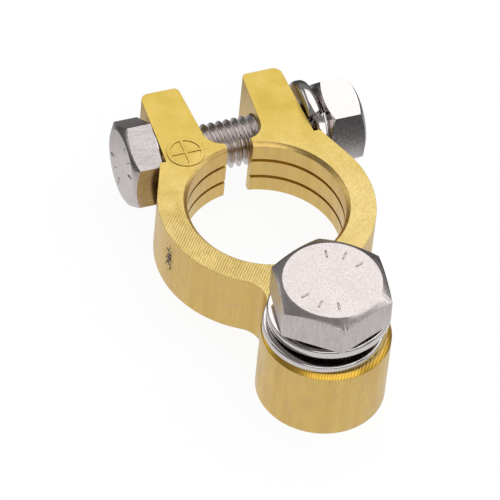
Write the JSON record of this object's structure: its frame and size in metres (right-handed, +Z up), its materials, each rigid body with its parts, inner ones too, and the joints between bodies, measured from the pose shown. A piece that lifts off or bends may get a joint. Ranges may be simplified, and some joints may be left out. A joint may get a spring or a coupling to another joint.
{
  "type": "battery terminal clamp",
  "caption": "Split brass ring that a bolt through its ears closes on a battery post, with a round boss at the side where a hexagon bolt and washers hold a cable lug.",
  "frame": {"origin": "on the axis of the battery post, halfway up the ring", "axes": "+Z up along the battery post; +X along the clamping bolt, from its head to its nut; +Y from the post to the ears, so the boss for the cable lug lies at -Y"},
  "size_m": [0.0303, 0.0499, 0.0186],
  "materials": {
    "brass": "satin, milled on top",
    "stainless": "satin",
    "plated": "polished"
  },
  "bodies": {
    "clamp_body": {"clamp_body": "brass"},
    "clamp_bolt": {"clamp_bolt": "stainless"},
    "clamp_washer": {"clamp_spring_washer": "plated"},
    "clamp_nut": {"clamp_nut": "plated"},
    "terminal_washers": {"terminal_flat_washer": "stainless", "terminal_spring_washer": "stainless"},
    "terminal_bolt": {"terminal_bolt": "stainless"}
  },
  "joints": [
    {"name": "clamp_bolt_turn", "type": "hinge", "parent": "clamp_body", "child": "clamp_bolt", "pos_m": [0, 0.0142, 0], "axis": [1, 0, 0], "continuous": true},
    {"name": "nut_travel", "type": "slide", "parent": "clamp_bolt", "child": "clamp_washer", "axis": [1, 0, 0], "range_m": [0, 0.002]},
    {"name": "nut_turn", "type": "hinge", "parent": "clamp_washer", "child": "clamp_nut", "pos_m": [0, 0.0142, 0], "axis": [1, 0, 0], "range_deg": [0, 722]},
    {"name": "terminal_rise", "type": "slide", "parent": "clamp_body", "child": "terminal_washers", "axis": [0, 0, 1], "range_m": [0, 0.005]},
    {"name": "terminal_turn", "type": "hinge", "parent": "terminal_washers", "child": "terminal_bolt", "pos_m": [0, -0.021, 0], "axis": [0, 0, 1], "range_deg": [0, 1444]}
  ],
  "couplings": [
    {"joint": "nut_turn", "follows": "nut_travel", "rad_per_m": 6283.2},
    {"joint": "terminal_turn", "follows": "terminal_rise", "rad_per_m": 5026.5}
  ]
}
